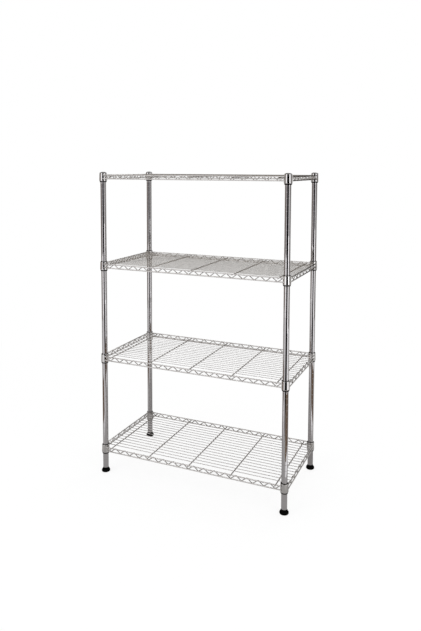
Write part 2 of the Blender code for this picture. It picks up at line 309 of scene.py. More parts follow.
@dataclass(frozen=True)
class Bench:
    """Adds and links the nodes of one tree."""

    tree: NodeTree

    def feed(self, target: NodeSocket, value: object) -> None:
        """Links an output to an input, or sets the input to a value.

        Args:
            target: The input.
            value: An output, a number, a vector, or a colour without its alpha.
        """
        if isinstance(value, NodeSocket):
            self.tree.links.new(value, target)
        elif target.type == "RGBA":
            target.default_value = (*value, 1.0)
        else:
            target.default_value = value

    def fill(self, node: Node, **values: object) -> Node:
        """Sets a node's properties or feeds its inputs by name.

        Args:
            node: The node.
            values: Properties, or inputs written with _ for a space.

        Returns:
            The node.
        """
        for name, value in values.items():
            label = name.replace("_", " ")
            if label in node.inputs:
                self.feed(node.inputs[label], value)
            else:
                setattr(node, name, value)
        return node

    def add(self, kind: str, *fed: object, **values: object) -> Node:
        """Adds a shader node.

        Args:
            kind: Blender's name of the node type, after ShaderNode.
            fed: What its first inputs are fed, in order.
            values: Properties, or inputs written with _ for a space.

        Returns:
            The node.
        """
        node = self.tree.nodes.new(f"ShaderNode{kind}")
        for target, value in zip(node.inputs, fed):
            self.feed(target, value)
        return self.fill(node, **values)

    def math(self, operation: str, first: object, second: object) -> NodeSocket:
        """Works on two values, each a number or an output."""
        return self.add("Math", first, second, operation=operation).outputs[0]

    def plus(self, first: object, second: object) -> NodeSocket:
        """Adds two values."""
        return self.math("ADD", first, second)

    def times(self, first: object, second: object) -> NodeSocket:
        """Multiplies two values."""
        return self.math("MULTIPLY", first, second)

    def mix(self, share: object, first: object, second: object) -> NodeSocket:
        """Adds a Mix node on two colours.

        Args:
            share: How much of the second colour shows, from 0 to 1.
            first: Colour at a share of 0.
            second: Colour at a share of 1.

        Returns:
            The mixed colour.
        """
        node = self.add("Mix", data_type="RGBA")
        for number, value in zip(MIX_INPUTS, (share, first, second)):
            self.feed(node.inputs[number], value)
        return node.outputs[MIX_OUTPUT]

    def blend(self, share: NodeSocket, first: Node, second: Node, end: str) -> None:
        """Mixes two shaders into the named output node, by the second one's share from 0 to 1."""
        node = self.add("MixShader", share, first.outputs[0], second.outputs[0])
        self.feed(self.tree.nodes[end].inputs[0], node.outputs[0])

    def noise(self, scale: float, detail: float, stretch: Triple = (1.0, 1.0, 1.0)) -> NodeSocket:
        """Adds a noise on Object coordinates.

        Args:
            scale: Cells to a metre.
            detail: Octaves of the noise.
            stretch: Factor on each coordinate, small to draw the noise out along it.

        Returns:
            The noise, from 0 to 1.
        """
        place = self.add("TexCoord").outputs["Object"]
        mapped = self.add("Mapping", place, Scale=stretch).outputs[0]
        return self.add("TexNoise", mapped, Scale=scale, Detail=detail).outputs[0]

    def seen_straight(self) -> NodeSocket:
        """Adds what is 1 for camera, glossy and transmission rays, and 0 for the others.

        Returns:
            The output that says so.
        """
        ray = self.add("LightPath").outputs
        both = self.math("MAXIMUM", ray["Is Camera Ray"], ray["Is Glossy Ray"])
        return self.math("MAXIMUM", both, ray["Is Transmission Ray"])


def new_group(name: str) -> tuple[Bench, Node, Node]:
    """Makes an empty node group with the sockets that every finish uses.

    Args:
        name: The group's name.

    Returns:
        The bench of its tree, its input node and its output node.
    """
    tree = bpy.data.node_groups.new(name, "ShaderNodeTree")
    inputs = {"Colour": "Color", "Worn": "Color", "Soil": "Float", "Roughness": "Float", "Haze": "Float"}
    outputs = {"Colour": "Color", "Roughness": "Float", "Height": "Float"}
    for side, sockets in (("INPUT", inputs), ("OUTPUT", outputs)):
        for label, kind in sockets.items():
            tree.interface.new_socket(name=label, in_out=side, socket_type=f"NodeSocket{kind}")
    return Bench(tree), tree.nodes.new("NodeGroupInput"), tree.nodes.new("NodeGroupOutput")


CLOUD_WEAR = 0.1
STREAK_WEAR = 0.22
SPECK_LEAST = 0.25
SPECK_HEIGHT = 0.5
LINE_HAZE = 0.6
SOIL_HAZE = 0.12
RUB_LEAST = 0.25


def plating_group() -> NodeTree:
    """Makes the wear and painted shade of plated metal: cloudy tint, fine draw lines, and
    darkening where the surface says so, which is real dirt on welds and stems, painted
    shade on the shelf wires, collars, post grooves and caps, and plain darkening at the post feet.

    Returns:
        The group.
    """
    bench, node, made = new_group("plating_wear_and_shade")
    given = node.outputs
    cloud = bench.noise(scale=16.0, detail=3.0)
    speck = bench.noise(scale=650.0, detail=2.0)
    lines = bench.noise(scale=900.0, detail=2.0, stretch=(1.0, 1.0, 0.03))
    streak = bench.noise(scale=190.0, detail=1.0, stretch=(1.0, 1.0, 0.02))
    worn = bench.plus(bench.times(cloud, CLOUD_WEAR), bench.times(streak, STREAK_WEAR))
    shade = bench.mix(worn, given["Colour"], given["Worn"])
    # Darkening by the vertex attribute: real dirt on welds and stems, painted shade on the shelf wires,
    # collars, post grooves and caps.
    soil_and_shade_share = bench.times(given["Soil"], bench.plus(speck, SPECK_LEAST))
    spread = bench.times(given["Haze"], bench.plus(cloud, bench.times(lines, LINE_HAZE)))
    rough = bench.plus(given["Roughness"], spread)
    colour = bench.mix(soil_and_shade_share, shade, given["Worn"])
    dulled = bench.plus(rough, bench.times(soil_and_shade_share, SOIL_HAZE))
    height = bench.plus(lines, bench.times(speck, SPECK_HEIGHT))
    bench.fill(made, Colour=colour, Roughness=dulled, Height=height)
    return bench.tree


def moulded_group() -> NodeTree:
    """Makes the grain of moulded plastic: fine pits, a slow shift of colour and rubbed patches.

    Returns:
        The group.
    """
    bench, node, made = new_group("moulded_grain")
    given = node.outputs
    pits = bench.noise(scale=1800.0, detail=3.0)
    patch = bench.noise(scale=70.0, detail=4.0)
    rubbed = bench.times(patch, bench.plus(given["Soil"], RUB_LEAST))
    colour = bench.mix(rubbed, given["Colour"], given["Worn"])
    rough = bench.plus(given["Roughness"], bench.times(patch, given["Haze"]))
    bench.fill(made, Colour=colour, Roughness=rough, Height=pits)
    return bench.tree


@dataclass(frozen=True)
class Finish:
    """What the finishes share: a colour, the colour of worn places, which dirt and painted shade also mix
    towards, and how they shine.

    haze is how much the roughness varies over the surface.
    """

    slot: Slot
    colour: Colour
    worn: Colour
    _: KW_ONLY
    roughness: float
    haze: float
    bump: float
    specular: float
    metallic: float

    def material(self, group: NodeTree) -> Material:
        """Makes the slot's material around a wear or grain group.

        Args:
            group: The node group that varies the surface.

        Returns:
            The material.
        """
        material = bpy.data.materials.new(self.slot.value)
        material.use_nodes = True
        bench = Bench(material.node_tree)
        soil_and_shade = bench.add("Attribute", attribute_name="soil_and_shade").outputs["Fac"]
        detail = bench.add("Group", node_tree=group)
        bench.fill(detail, Colour=self.colour, Worn=self.worn, Soil=soil_and_shade)
        made = bench.fill(detail, Roughness=self.roughness, Haze=self.haze).outputs
        bump = bench.add("Bump", Strength=self.bump, Distance=BUMP_DEPTH, Height=made["Height"])
        bench.fill(
            bench.tree.nodes["Principled BSDF"],
            Base_Color=made["Colour"],
            Roughness=made["Roughness"],
            Metallic=self.metallic,
            Specular_IOR_Level=self.specular,
            Normal=bump.outputs[0],
        )
        return material


@dataclass(frozen=True, kw_only=True)
class PlatedFinish(Finish):
    """Chrome or zinc over steel."""

    specular: float = 0.5
    metallic: float = 1.0


@dataclass(frozen=True, kw_only=True)
class MouldedFinish(Finish):
    """Black plastic straight from the mould."""

    roughness: float = 0.55
    haze: float = 0.14
    metallic: float = 0.0


FINISHES = (
    PlatedFinish(
        Slot.POST, (0.66, 0.645, 0.655), (0.36, 0.345, 0.34), roughness=0.01, bump=0.012, haze=0.018
    ),
    PlatedFinish(Slot.CAP, (0.62, 0.615, 0.625), (0.34, 0.33, 0.33), roughness=0.04, bump=0.02, haze=0.04),
    # The wire's worn colour is also the warm brown that its painted shade darkens towards, standing in for
    # brownish reflections.
    PlatedFinish(Slot.WIRE, (0.88, 0.875, 0.88), (0.31, 0.285, 0.25), roughness=0.03, bump=0.03, haze=0.04),
    PlatedFinish(Slot.STEM, (0.52, 0.51, 0.48), (0.2, 0.18, 0.15), roughness=0.28, bump=0.12, haze=0.12),
    MouldedFinish(Slot.SLEEVE, (0.002,) * 3, (0.007,) * 3, bump=0.12, specular=0.012),
    MouldedFinish(Slot.FOOT, (0.0015,) * 3, (0.005,) * 3, bump=0.14, specular=0.008),
)


def all_materials() -> dict[Slot, Material]:
    """Makes the material of every slot."""
    groups = {PlatedFinish: plating_group(), MouldedFinish: moulded_group()}
    return {finish.slot: finish.material(groups[type(finish)]) for finish in FINISHES}


# Pieces


@dataclass(frozen=True)
class Maker:
    """Turns surfaces into pieces of the frame."""

    materials: dict[Slot, Material]
    sharp_angle: float = 38.0

    def mesh(self, name: str, surface: Surface) -> Mesh:
        """Puts a surface's arrays into a mesh.

        Args:
            name: The mesh's name.
            surface: The surface.

        Returns:
            The mesh, smooth but for its sharp edges, with the dirt and painted shade on its vertices.
        """
        mesh = bpy.data.meshes.new(name)
        mesh.from_pydata(surface.points, [], surface.quads.tolist() + surface.fans.tolist())
        mesh.validate()
        mesh.shade_smooth()
        mesh.set_sharp_from_angle(angle=math.radians(self.sharp_angle))
        soil_and_shade = mesh.attributes.new("soil_and_shade", "FLOAT", "POINT")
        soil_and_shade.data.foreach_set("value", surface.soil_and_shade)
        return mesh

    def piece(self, name: str, surface: Surface, slot: Slot, body: str, node: str) -> None:
        """Makes one piece that stands for a node and rides on a body.

        Args:
            name: The piece's name.
            surface: Its skin, in place.
            slot: The finish it takes.
            body: The body it moves with.
            node: The node it stands for.
        """
        made = bpy.data.objects.new(name, self.mesh(name, surface))
        bpy.context.scene.collection.objects.link(made)
        made.data.materials.append(self.materials[slot])
        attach(made, body)
        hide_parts(node)
        LOG.info("%s: %d points on %s", name, len(surface.points), body)


def middle(node: str) -> Vector:
    """Gives the middle of a node's box."""
    low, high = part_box(node)
    return (Vector(low) + Vector(high)) / 2.0


def post_axis(corner: Corner) -> Pair:
    """Gives the x and y of a post's axis."""
    centre = middle(f"post_{corner.value}")
    return centre.x, centre.y


def shelf_level(shelf: Shelf) -> float:
    """Gives the height of a shelf's sleeve tops."""
    return float(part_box(f"sleeve_{shelf.value}_front_left_a")[1][2])


@dataclass(frozen=True)
class GroovedPost:
    """A steel tube with a ring groove at every inch, its cap and its levelling foot."""

    corner: Corner
    radius: float = 0.0127
    wall: float = 0.0015
    edge: float = 0.0004
    sides: int = 48
    # How much darker the bottom edge of the tube is drawn, on its two lowest rows.
    foot_darkening: Pair = (0.4, 0.2)
    groove_pitch: float = 0.0254
    groove_depth: float = 0.00007
    groove_reach: float = 0.0008
    groove_shoulder: float = 1.4
    groove_drop: float = 0.0215
    groove_rows: int = 7
    # Painted shade: how much darker each groove is drawn, at the bottom of its dip.
    groove_shade: float = 0.6
    plug_bore: float = 0.0054
    plug_height: float = 0.03
    cap_gap: float = 0.0003
    cap_edge: float = 0.0003
    cap_rim: float = 0.0007
    # Painted shade: the dome is drawn darker at its rim and lighter towards its top, from the first number to
    # the second.
    cap_shade: Pair = (0.8, 0.1)
    skirt_radius: float = 0.0108
    skirt_inset: float = 0.0006
    skirt_lead: float = 0.0008
    stem_radius: float = 0.005
    stem_chamfer: float = 0.0008
    stem_sides: int = 24
    stem_soil: float = 0.2
    thread_depth: float = 0.0006
    thread_pitch: float = 0.0015
    rows_to_thread: int = 8
    sole_radius: float = 0.013
    sole_rise: float = 0.0045
    sole_soil: float = 0.9
    seam_height: float = 0.007
    seam_reach: float = 0.0003
    seam_depth: float = 0.0002
    seam_soil: float = 0.5
    rim_height: float = 0.0078
    rim_round: float = 0.004
    rim_soil: Pair = (0.3, 0.1)
    lip_round: float = 0.0012
    pad_swell: float = 0.0004
    pad_top_radius: float = 0.0132
    socket_steps: tuple[Pair, ...] = ((0.0068, 0.0), (0.006, 0.0006), (0.0056, 0.001), (0.0056, 0.0119))

    def tube(self) -> Surface:
        """Turns the tube: outside up, with a cosine dip at each groove that is also painted darker as shade,
        and down the bore.

        Returns:
            The tube's skin.
        """
        low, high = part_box(f"post_{self.corner.value}")
        foot, top = low[2], high[2]
        first = shelf_level(Shelf.BOTTOM) - self.groove_drop
        lowest = math.ceil((foot + 2 * self.groove_reach - first) / self.groove_pitch)
        highest = math.floor((top - 2 * self.groove_reach - first) / self.groove_pitch)
        levels = first + self.groove_pitch * np.arange(lowest, highest + 1)
        shoulders = self.groove_shoulder * BOTH_WAYS
        across = np.pad(np.linspace(-1.0, 1.0, self.groove_rows), 1, constant_values=shoulders)
        dip = np.where(np.abs(across) < 1.0, 0.5 + 0.5 * np.cos(np.pi * across), 0.0)
        heights = (levels[:, None] + self.groove_reach * across).ravel()
        dips = np.tile(dip, len(levels))
        outside = abreast(self.radius - self.groove_depth * dips, heights)
        bore = self.radius - self.wall
        plug = foot + self.plug_height
        start = [[self.radius - self.edge, foot], [self.radius, foot + self.edge]]
        finish = [
            [self.radius, top - self.edge],
            [self.radius - self.edge, top],
            [bore, top],
            [bore, plug],
            [self.plug_bore, plug],
            [self.plug_bore, foot],
        ]
        profile = np.concatenate([start, outside, finish])
        soil_and_shade = np.concatenate([self.foot_darkening, self.groove_shade * dips, np.zeros(len(finish))])
        return turned(profile, post_axis(self.corner), self.sides, soil_and_shade, ring=True)

    def cap(self) -> Surface:
        """Turns the cap: a skirt in the bore, a thin rim, and a dome that is a quarter of an ellipse.

        Returns:
            The cap's skin.
        """
        low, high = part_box(f"cap_{self.corner.value}")
        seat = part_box(f"post_{self.corner.value}")[1][2] + self.cap_gap
        rim = seat + self.cap_rim
        dome = bow((0.0, rim), (self.radius, high[2] - rim), start=0.0, stop=87.0, steps=10)
        skirt = [
            [self.skirt_radius - self.skirt_inset, low[2]],
            [self.skirt_radius, low[2] + self.skirt_lead],
            [self.skirt_radius, seat],
            [self.radius - self.cap_edge, seat],
            [self.radius, seat + self.cap_edge],
        ]
        profile = np.concatenate([skirt, dome])
        soil_and_shade = np.concatenate([np.zeros(len(skirt)), np.linspace(*self.cap_shade, len(dome))])
        return turned(profile, post_axis(self.corner), self.sides, soil_and_shade)

    def stem(self) -> Surface:
        """Winds the thread: the radius falls and rises in a triangle wave of angle minus height over pitch.

        Returns:
            The stem's skin.
        """
        low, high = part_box(f"foot_stem_{self.corner.value}")
        turns = (high[2] - low[2]) / self.thread_pitch
        height = np.linspace(low[2], high[2], int(turns * self.rows_to_thread))[:, None]
        angle = bearings(self.stem_sides)
        phase = (angle / FULL_TURN - height / self.thread_pitch) % 1.0
        cut = self.thread_depth * np.abs(2.0 * phase - 1.0)
        taper = np.minimum(height - low[2], high[2] - height)
        radius = self.stem_radius - np.maximum(cut, self.stem_chamfer - taper)
        return skin(polar(post_axis(self.corner), radius, angle, height), self.stem_soil)

    def pad(self) -> Surface:
        """Turns the foot: an elliptic sole, a seam, a round rim, a conical shoulder and a socket.

        Returns:
            The pad's skin.
        """
        low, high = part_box(f"foot_pad_{self.corner.value}")
        floor, top = low[2], high[2]
        side = (high[0] - low[0]) / 2.0 + self.pad_swell
        sole_middle = (self.sole_radius, floor + self.sole_rise)
        sole_reach = (side - self.sole_radius, self.sole_rise)
        sole = bow(sole_middle, sole_reach, start=-89.0, stop=0.0, steps=8)
        seam = floor + self.seam_height
        reach = self.seam_reach
        line = [[side, seam - reach], [side - self.seam_depth, seam], [side, seam + reach]]
        rim_middle = (side - self.rim_round, floor + self.rim_height)
        rim = bow(rim_middle, (self.rim_round, self.rim_round), start=0.0, stop=62.0, steps=6)
        lip_middle = (self.pad_top_radius - self.lip_round, top - self.lip_round)
        lip = bow(lip_middle, (self.lip_round, self.lip_round), start=40.0, stop=88.0, steps=4)
        socket = [[radius, top - depth] for radius, depth in self.socket_steps]
        profile = np.concatenate([sole, line, rim, lip, socket])
        soil_and_shade = np.concatenate(
            [
                np.full(len(sole), self.sole_soil),
                np.full(len(line), self.seam_soil),
                np.linspace(*self.rim_soil, len(rim) + len(lip)),
                np.zeros(len(socket)),
            ]
        )
        return turned(profile, post_axis(self.corner), self.sides, soil_and_shade)

    def build(self, maker: Maker) -> None:
        """Makes the post's four pieces.

        Args:
            maker: What makes the pieces.
        """
        name = self.corner.value
        maker.piece(f"tube_{name}", self.tube(), Slot.POST, "frame", f"post_{name}")
        maker.piece(f"dome_{name}", self.cap(), Slot.CAP, "frame", f"cap_{name}")
        maker.piece(f"thread_{name}", self.stem(), Slot.STEM, f"foot_stem_{name}", f"foot_stem_{name}")
        maker.piece(f"puck_{name}", self.pad(), Slot.FOOT, f"foot_pad_{name}", f"foot_pad_{name}")


@dataclass(frozen=True)
class SplitSleeve:
    """A tapered sleeve in two halves that snap round the post with a rib in its groove."""

    shelf: Shelf
    corner: Corner
    bore: float = 0.013
    top_radius: float = 0.0146
    foot_radius: float = 0.0156
    edge: float = 0.0005
    gap: float = 0.0006
    rib_height: float = 0.0004
    rib_reach: float = 0.0007
    rib_drop: float = 0.0225
    bevel: float = 0.3
    show_above: float = 0.001
    steps: int = 25
    soil_and_shade: float = 0.3

    def profile(self) -> tuple[Array, Array]:
        """Gives the sleeve's outer side and its bore, both from the foot up and with as many points.

        Returns:
            Radius and height of the outer points, and of the inner points.
        """
        low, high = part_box(f"sleeve_{self.shelf.value}_{self.corner.value}_a")
        foot, top = low[2], high[2] + self.show_above
        inset = self.edge * np.array([1.0, self.bevel, 0.0])
        rise = inset[::-1]
        lower = abreast(self.foot_radius - inset, foot + rise)
        upper = abreast(self.top_radius - rise, top - inset)
        depth = self.rib_height * np.array([0.0, 0.0, 1.0, 1.0, 0.0, 0.0])
        rib = top - self.rib_drop + self.rib_reach * np.array([-1.0, -self.bevel, self.bevel, 1.0])
        inner = abreast(self.bore - depth, np.array([foot, *rib, top]))
        return np.concatenate([lower, upper]), inner

    def shell(self, half: Half) -> Surface:
        """Sweeps the profile half way round the post and closes the two cut faces with quads.

        Args:
            half: Which half, turned to the side where its node lies.

        Returns:
            The half's skin.
        """
        axis = post_axis(self.corner)
        side = middle(f"sleeve_{self.shelf.value}_{self.corner.value}_{half.value}")
        facing = math.atan2(side.y - axis[1], side.x - axis[0])
        outer, inner = self.profile()
        loop = np.concatenate([outer, inner[::-1]])
        short = math.asin(self.gap / 2.0 / self.bore)
        angle = np.linspace(facing - math.pi / 2.0 + short, facing + math.pi / 2.0 - short, self.steps)
        points = polar(axis, loop[:, 0], angle[:, None], loop[:, 1]).reshape(-1, 3)
        sweep = grid_quads(self.steps, len(loop), ring=False)
        rung = np.arange(len(outer) - 1)
        far = len(loop) - 1 - rung
        cut = abreast(rung, far, far - 1, rung + 1)
        last = cut[:, ::-1] + (self.steps - 1) * len(loop)
        quads = np.concatenate([sweep, cut, last])
        fans = np.zeros((0, 3), dtype=int)
        if signed_volume(points, quads, fans) < 0.0:
            quads = quads[:, ::-1]
        return Surface(points, quads, fans, np.full(len(points), self.soil_and_shade))

    def build(self, maker: Maker) -> None:
        """Makes both halves.

        Args:
            maker: What makes the pieces.
        """
        for half in Half:
            name = f"{self.shelf.value}_{self.corner.value}_{half.value}"
            maker.piece(f"wedge_{name}", self.shell(half), Slot.SLEEVE, "frame", f"sleeve_{name}")


# Painted shade, per shelf from the bottom up: how much darker and browner the cross rods and the deck wires
# are drawn, standing in for the darker reflections they show. The upper shelf's rods are drawn light so that
# they hardly show.
ROD_SHADE = dict(zip(Shelf, (0.85, 0.85, 0.15, 0.85)))
DECK_SHADE = dict(zip(Shelf, (0.42, 0.18, 1.1, 0.75)))
# Painted shade: the collars of the bottom and lower shelves are drawn darker, standing in for the darker
# surroundings they mirror.
COLLAR_SHADE = dict(zip(Shelf, (0.35, 0.15, 0.0, 0.0)))


@dataclass(frozen=True)
class WireShelf:
    """A welded wire shelf: deck wires on cross rods, ladder trusses round it and a collar at each corner.

    A weld's numbers are half its length along the rail or in x, across it or in
    y, and up.
    """

    shelf: Shelf
    rail_radius: float = 0.0025
    rail_sides: int = 14
    rail_drop: float = 0.0102
    rail_rise: float = 0.0168
    bend_radius: float = 0.002
    bend_sides: int = 12
    bend_pitch: float = 0.05
    bend_flat: float = 0.003
    bend_curve: float = 0.0027
    bend_steps: int = 5
    bend_margin: float = 0.0005
    bend_inset: float = 0.0043
    rod_radius: float = 0.0025
    rod_sides: int = 14
    rod_pitch: float = 0.2
    rods_each_way: int = 2
    rod_drop: float = 0.0148
    rod_past_rail: float = 0.0018
    deck_radius: float = 0.0015
    deck_sides: int = 10
    deck_pitch: float = 0.0247
    deck_drop: float = 0.0105
    deck_wires: int = 16
    # Painted shade: how much darker every truss's rails and bent wire are drawn, standing in for darker
    # reflections in their chrome.
    truss_shade: float = 0.44
    truss_weld: Triple = (0.0034, 0.0012, 0.0017)
    truss_weld_soil: float = 0.25
    weld_margin: float = 0.004
    deck_weld: Triple = (0.0024, 0.0021, 0.0009)
    rim_weld: Triple = (0.003, 0.0026, 0.0012)
    deck_weld_soil: float = 0.35
    tip_weld: Triple = (0.0034, 0.0027, 0.003)
    tip_weld_soil: float = 0.4
    collar_top: float = 0.001
    collar_foot: float = 0.038
    collar_wall: float = 0.0016
    collar_bore_top: float = 0.01492
    collar_bore_foot: float = 0.01578
    collar_lip: float = 0.0012
    collar_sides: int = 56
    roll_width: float = 0.0012
    roll_height: float = 0.0028
    hem: Pair = (0.0004, 0.0016)
    sink: float = 0.0006

    @property
    def level(self) -> float:
        """Height of the sleeve tops."""
        return shelf_level(self.shelf)

    @property
    def rail_heights(self) -> Array:
        """Heights of the lower and the upper rail."""
        top = self.level - self.rail_drop
        return np.array([top - self.rail_rise, top])

    @property
    def reach(self) -> Array:
        """Half the spacing of the posts, in x and y."""
        return np.abs(np.array(post_axis(Corner.FRONT_LEFT)))

    @property
    def truss_reach(self) -> Array:
        """Half the spacing of the trusses, in x and y, whose rails are flush with the collars."""
        return self.reach + self.collar_radius(self.rail_drop) - self.rail_radius

    @property
    def rail_stop(self) -> float:
        """How far before a post's axis a rail ends, with its inner side sunk in the collar's wall."""
        inner = self.collar_radius(self.rail_drop) - 2.0 * self.rail_radius
        return math.sqrt((self.collar_bore_top + self.sink) ** 2 - inner**2)

    def along(self, axis: int, place: Array | float, other: float, height: Array | float) -> Array:
        """Gives points by their places along one axis, 0 for x or 1 for y, on the other one and up."""
        return abreast(place, other, height) if axis == 0 else abreast(other, place, height)

    def zigzag(self, reach: float) -> Array:
        """Bends the truss wire: a trapezoid wave with each corner rounded by a quadratic curve.

        The curve runs from one bend length before a corner to one after it, with
        the corner as control point. The middle of the wire is a valley.

        Args:
            reach: Half the length of the wire.

        Returns:
            Place along the rail and height of each point.
        """
        low, high = self.rail_heights
        count = int(reach / self.bend_pitch) + 2
        step = np.arange(-2 * count, 2 * count + 1)
        crown = self.bend_flat / 2.0 * BOTH_WAYS
        places = (step[:, None] * (self.bend_pitch / 2.0) + crown).ravel()
        heights = np.repeat(np.where(step % 2 == 0, low, high), 2)
        corner = abreast(places, heights)
        way = unit(np.diff(corner, axis=0))
        share = np.linspace(0.0, 1.0, self.bend_steps)[None, :, None]
        turn = share**2 * way[1:, None] - (1 - share) ** 2 * way[:-1, None]
        curve = (corner[1:-1, None] + self.bend_curve * turn).reshape(-1, 2)
        inside = curve[np.abs(curve[:, 0]) < reach - self.bend_margin]
        ends = reach * BOTH_WAYS
        tips = abreast(ends, np.interp(ends, *curve.T))
        return np.concatenate([tips[:1], inside, tips[1:]])

    def truss(self, axis: int, side: float, inward: float, reach: float) -> list[Surface]:
        """Makes two rails with the bent wire welded to their inner side by beads.

        Args:
            axis: 0 for a truss along x, 1 for one along y.
            side: Place of the rails on the other axis.
            inward: 1 or -1, the way to the middle of the shelf.
            reach: Half the length of the rails.

        Returns:
            Rails, bent wire and welds.
        """
        normal = np.eye(3)[1 - axis]
        made = []
        for height in self.rail_heights:
            path = self.along(axis, reach * BOTH_WAYS, side, height)
            made.append(wire(path, self.rail_radius, self.rail_sides, normal, self.truss_shade))
        wave = self.zigzag(reach)
        path = self.along(axis, wave[:, 0], side + inward * self.bend_inset, wave[:, 1])
        made.append(wire(path, self.bend_radius, self.bend_sides, normal, self.truss_shade))
        half_pitch = self.bend_pitch / 2.0
        count = int((reach - self.weld_margin) / half_pitch)
        step = np.arange(-count, count + 1)
        height = np.where(step % 2 == 0, *self.rail_heights)
        centres = self.along(axis, step * half_pitch, side + inward * self.rail_radius, height)
        made.append(beads(centres, self.along(axis, *self.truss_weld), self.truss_weld_soil))
        return made

    def deck(self) -> Surface:
        """Lays the deck wires on the cross rods and hangs a truss along the front and the back.

        Returns:
            All the wirework of the deck.
        """
        reach = self.truss_reach
        lanes = (np.arange(self.deck_wires) - (self.deck_wires - 1) / 2.0) * self.deck_pitch
        rods = np.arange(-self.rods_each_way, self.rods_each_way + 1) * self.rod_pitch
        deck_height = self.level - self.deck_drop
        rod_height = self.level - self.rod_drop
        end = reach[0] - self.rail_radius + self.sink / 2.0
        rod_end = reach[1] + self.rod_past_rail
        rail_end = self.reach[0] - self.rail_stop
        made = []
        for lane in lanes:
            path = self.along(0, end * BOTH_WAYS, lane, deck_height)
            made.append(wire(path, self.deck_radius, self.deck_sides, (0.0, 1.0, 0.0), DECK_SHADE[self.shelf]))
        for place in rods:
            path = self.along(1, rod_end * BOTH_WAYS, place, rod_height)
            made.append(wire(path, self.rod_radius, self.rod_sides, (1.0, 0.0, 0.0), ROD_SHADE[self.shelf]))
        joint = np.array([deck_height - self.deck_radius])
        rims = reach[1] * BOTH_WAYS
        made.append(beads(crossings(rods, lanes, joint), self.deck_weld, self.deck_weld_soil))
        made.append(beads(crossings(rods, rims, joint), self.rim_weld, self.deck_weld_soil))
        for sign in BOTH_WAYS:
            made.extend(self.truss(0, sign * reach[1], -sign, rail_end))
        tips = crossings(rail_end * BOTH_WAYS, rims, self.rail_heights)
        made.append(beads(tips, self.tip_weld, self.tip_weld_soil))
        return joined(made)

    def collar_radius(self, drop: float) -> float:
        """Gives the collar's outer radius at a drop below the sleeve's top, on a straight taper."""
        drops = (self.collar_top, self.collar_foot)
        return np.interp(drop, drops, (self.collar_bore_top, self.collar_bore_foot)) + self.collar_wall

    def collar(self, corner: Corner) -> Surface:
        """Turns the tapered collar: a rounded lip, the outside down, a lip rolled in, and the bore up.

        Args:
            corner: The post that the collar goes round.

        Returns:
            The collar's skin.
        """
        top = self.level - self.collar_top
        foot = self.level - self.collar_foot
        half = self.collar_wall / 2.0
        outer_foot = self.collar_bore_foot + self.collar_wall
        lip_middle = (self.collar_bore_top + half, top - self.collar_lip)
        lip = bow(lip_middle, (half, self.collar_lip), start=180.0, stop=0.0, steps=9)
        roll_middle = (outer_foot - self.roll_width, foot + self.roll_height)
        roll = bow(roll_middle, (self.roll_width, self.roll_height), start=0.0, stop=-86.0, steps=8)
        hem = abreast(self.collar_bore_foot, foot + np.array(self.hem))
        profile = np.concatenate([lip, between(lip[-1], roll[0]), roll, hem, between(hem[-1], lip[0])])
        return turned(profile, post_axis(corner), self.collar_sides, COLLAR_SHADE[self.shelf], ring=True)

    def end(self, end: End) -> Surface:
        """Makes two collars and the truss that ties them together.

        Args:
            end: Which end of the shelf.

        Returns:
            All the wirework of the end.
        """
        sign = -1.0 if end is End.LEFT else 1.0
        side = sign * self.truss_reach[0]
        rail_end = self.reach[1] - self.rail_stop
        made = [self.collar(corner) for corner in Corner if corner.value.endswith(end.value)]
        made.extend(self.truss(1, side, -sign, rail_end))
        tips = crossings(np.array([side]), rail_end * BOTH_WAYS, self.rail_heights)
        made.append(beads(tips, self.along(1, *self.tip_weld), self.tip_weld_soil))
        return joined(made)

    def build(self, maker: Maker) -> None:
        """Makes the deck and both ends.

        Args:
            maker: What makes the pieces.
        """
        name = f"shelf_{self.shelf.value}"
        maker.piece(f"wirework_{self.shelf.value}", self.deck(), Slot.WIRE, name, f"{name}_deck")
        for end in End:
            piece = f"collars_{self.shelf.value}_{end.value}"
            maker.piece(piece, self.end(end), Slot.WIRE, name, f"{name}_{end.value}_end")


# Stage


@dataclass(frozen=True)
class Card:
    """A studio card round, under or over the object, for its chrome to mirror.

    It lies between two bearings from the camera's, in degrees, and between two
    radii and two heights, in metres.
    """

    name: str
    first: float
    last: float
    colour: Colour
    heights: Pair = (0.0, 2.9)
    radii: Pair = (3.4, 3.4)
    points: int = 49

    def grid(self, facing: float) -> Array:
        """Bends the card round the object, in two rows of points, from the camera's bearing in degrees."""
        angle = np.radians(facing + np.linspace(self.first, self.last, self.points))
        return polar((0.0, 0.0), np.array([self.radii]).T, angle, np.array([self.heights]).T)


def flat(name: str, first: float, last: float, radii: Pair, height: float, colour: Colour) -> Card:
    """Makes a card that lies level."""
    return Card(name, first, last, colour, (height, height), radii)


@dataclass(frozen=True)
class Lamp:
    """A soft square lamp aimed at the middle of the object."""

    name: str
    place: Triple
    size: float
    power: float


